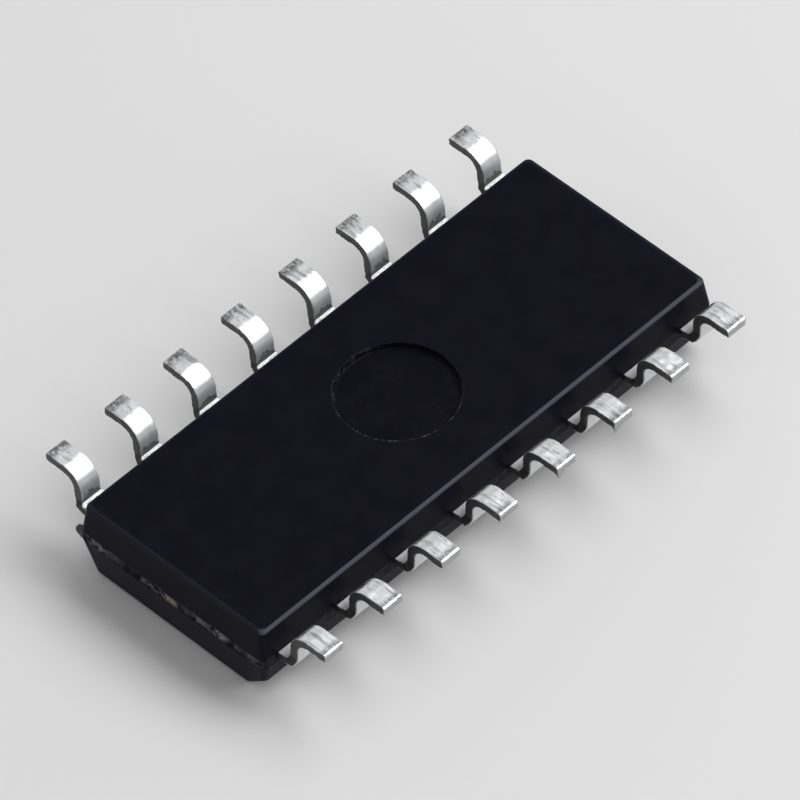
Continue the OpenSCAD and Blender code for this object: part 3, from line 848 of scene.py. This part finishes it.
# ---------- operators ----------

FLOOR_HALF = 0.6

# Each soft box's direction from the package, its distance, its width and depth, and its radiance
SOFT_BOXES = {
    "front_box": ((0.456, -0.335, 0.824), 120 * MM, (65 * MM, 174 * MM), 4.1),
    "camera_box": ((-0.30, -0.30, 0.90), 160 * MM, (60 * MM, 60 * MM), 1.6),
}


class ShellMaker(bpy.types.Operator):
    """Makes the moulded shell, with its broken bands, belly recess and index dimple."""

    bl_idname = "chip.mold_shell"
    bl_label = "Moulded shell"

    def execute(self, context):
        rings, first, last, facts = shell_surface(context.scene.chip_shell)
        facts = {name: np.append(fact, [0, 0]) for name, fact in facts.items()}
        piece = closed_grid("mold_shell", rings, first, last, facts)
        dress(piece, compound_finish(context.scene.chip_finishes))
        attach(piece, "root")
        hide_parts("mold_body")
        return {"FINISHED"}


class NibMaker(bpy.types.Operator):
    """Makes the chip of flash that is left at one corner of the parting band."""

    bl_idname = "chip.flash_nib"
    bl_label = "Flash nib"

    def execute(self, context):
        rings, first, last = nib_surface(context.scene.chip_shell)
        facts = {"broken_and_glint": np.ones(rings.shape[0] * rings.shape[1] + 2)}
        piece = closed_grid("flash_nib", rings, first, last, facts)
        dress(piece, bpy.data.materials["mold_compound"])
        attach(piece, "root")
        return {"FINISHED"}


class LeadMaker(bpy.types.Operator):
    """Makes the sixteen formed and plated leads."""

    bl_idname = "chip.plated_leads"
    bl_label = "Plated leads"

    def execute(self, context):
        sizes = context.scene.chip_leads
        finish = tin_finish(context.scene.chip_finishes)
        for number in range(1, LEAD_COUNT + 1):
            k, sign_x, sign_y = lead_place(number)
            # Burr spurs hang from the tips of two leads, on the side towards -X
            spur = -sign_x if number in (3, 4) else 0
            polished = number > LEADS_PER_SIDE
            rings, first, last, space, facts = lead_surface(k, sizes, 40 * number, spur, polished)
            flip = np.array([sign_x, sign_y, 1])
            facts = {name: np.append(fact, [fact[0].mean(), fact[-1].mean()]) for name, fact in facts.items()}
            poles = [space[0].mean(0), space[-1].mean(0)]
            facts["lead_space"] = np.vstack([space.reshape(-1, 3), poles]) + [0, 0, number * 2 * MM]
            name = "plated_lead_%02d" % number
            piece = closed_grid(name, rings * flip, first * flip, last * flip, facts)
            dress(piece, finish)
            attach(piece, "root")
            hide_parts("lead_%02d" % number)
        return {"FINISHED"}


class InnerFinisher(bpy.types.Operator):
    """Gives the die pad, die, attach layer and bond wires their finishes."""

    bl_idname = "chip.inner_parts"
    bl_label = "Inner parts"

    def execute(self, context):
        colours = context.scene.chip_finishes
        nodes = frame["nodes"]
        dress(nodes["die_pad"], copper_finish(colours))
        dress(nodes["die_attach"], epoxy_finish(colours))
        dress(nodes["die"], silicon_finish(colours))
        gold = gold_finish(colours)
        for number in range(1, LEAD_COUNT + 1):
            dress(nodes["bond_wire_%02d" % number], gold)
            dress(nodes["lead_%02d" % number], bpy.data.materials["tin_plating"])
        dress(nodes["mold_body"], bpy.data.materials["mold_compound"])
        return {"FINISHED"}


class StageMaker(bpy.types.Operator):
    """Sets the pale floor, the soft boxes, the sky and the camera."""

    bl_idname = "chip.stage"
    bl_label = "Stage"

    def soft_box(self, name, direction, reach, size, radiance):
        """An area lamp that looks at the package, with its width along the package's length as nearly as it
        can be. Its power is radiance times pi times its area."""
        lamp = bpy.data.lights.new(name, "AREA")
        lamp.shape = "RECTANGLE"
        lamp.size, lamp.size_y = size
        lamp.energy = radiance * math.pi * size[0] * size[1]
        box = new_object(name, lamp)
        away = Vector(direction).normalized()
        wide = (Vector((1, 0, 0)) - away.x * away).normalized()
        turn = Matrix((wide, away.cross(wide), away)).transposed().to_4x4()
        box.matrix_world = Matrix.Translation(away * reach) @ turn
        return box

    def floor(self, colours):
        """A flat square floor under the package."""
        mesh = bpy.data.meshes.new("floor")
        corners = [(x * FLOOR_HALF, y * FLOOR_HALF, 0) for x, y in ((-1, -1), (1, -1), (1, 1), (-1, 1))]
        mesh.from_pydata(corners, [], [(0, 1, 2, 3)])
        floor = new_object("floor", mesh)
        dress(floor, floor_finish(colours))
        return floor

    def sky(self, stage):
        """A grey sky that dims from the horizon upwards, by the sine of the height above it."""
        world = bpy.data.worlds.new("studio")
        nodes = Nodes(world)
        place = nodes.node("ShaderNodeTexCoord").outputs["Generated"]
        height = nodes.node("ShaderNodeSeparateXYZ", {"Vector": place}).outputs["Z"]
        levels = {"From Min": 0.10, "From Max": 0.62, "To Min": stage.low_sky, "To Max": stage.high_sky}
        grey = nodes.node("ShaderNodeMapRange", {"Value": height, **levels}, interpolation_type="SMOOTHSTEP")
        sky = nodes.node("ShaderNodeBackground", {"Color": grey.outputs["Result"]})
        nodes.node("ShaderNodeOutputWorld", {"Surface": sky.outputs["Background"]})
        return world

    def camera(self, stage):
        """A camera that looks along the azimuth and elevation, turned by the roll about its own axis."""
        a, e, r = stage.azimuth, stage.elevation, stage.roll
        back = Vector((math.sin(a) * math.cos(e), -math.cos(a) * math.cos(e), math.sin(e)))
        level = Vector((math.cos(a), math.sin(a), 0))
        rise = back.cross(level)
        right = math.cos(r) * level + math.sin(r) * rise
        up = back.cross(right)
        data = bpy.data.cameras.new("camera")
        data.sensor_width = 36
        data.lens = stage.lens
        data.clip_start, data.clip_end = 10 * MM, 2
        camera = new_object("camera", data)
        look = Vector((0, 0, stage.look_height)) + stage.shift_right * right + stage.shift_up * up
        turn = Matrix((right, up, back)).transposed().to_4x4()
        camera.matrix_world = Matrix.Translation(look + back * stage.distance) @ turn
        return camera

    def execute(self, context):
        scene = context.scene
        scene.view_settings.view_transform = "Standard"
        floor = self.floor(scene.chip_finishes)
        lamps = [self.soft_box(name, *values) for name, values in SOFT_BOXES.items()]
        scene.world = self.sky(scene.chip_stage)
        scene.camera = self.camera(scene.chip_stage)
        return {"FINISHED"}


class ChipPanel(bpy.types.Panel):
    """Lists the pieces and their sizes."""

    bl_idname = "VIEW3D_PT_chip_package"
    bl_label = "Chip package"
    bl_space_type = "VIEW_3D"
    bl_region_type = "UI"
    bl_category = "Chip package"

    def draw(self, context):
        for maker in OPERATORS:
            self.layout.operator(maker.bl_idname)
        for group in GROUPS:
            box = self.layout.box()
            box.label(text=group.__doc__.rstrip("."))
            for name in group.__annotations__:
                box.prop(getattr(context.scene, GROUPS[group]), name)


GROUPS = {
    ShellSizes: "chip_shell",
    LeadSizes: "chip_leads",
    Finishes: "chip_finishes",
    StageSizes: "chip_stage",
}
OPERATORS = (ShellMaker, NibMaker, LeadMaker, InnerFinisher, StageMaker)
CLASSES = (*GROUPS, *OPERATORS, ChipPanel)


def register():
    for kind in CLASSES:
        bpy.utils.register_class(kind)
    for group, name in GROUPS.items():
        setattr(bpy.types.Scene, name, bpy.props.PointerProperty(type=group))


def unregister():
    for name in GROUPS.values():
        delattr(bpy.types.Scene, name)
    for kind in reversed(CLASSES):
        bpy.utils.unregister_class(kind)


def main():
    register()
    bpy.ops.chip.mold_shell()
    bpy.ops.chip.flash_nib()
    bpy.ops.chip.plated_leads()
    bpy.ops.chip.inner_parts()
    bpy.ops.chip.stage()


if __name__ == "__main__":
    main()
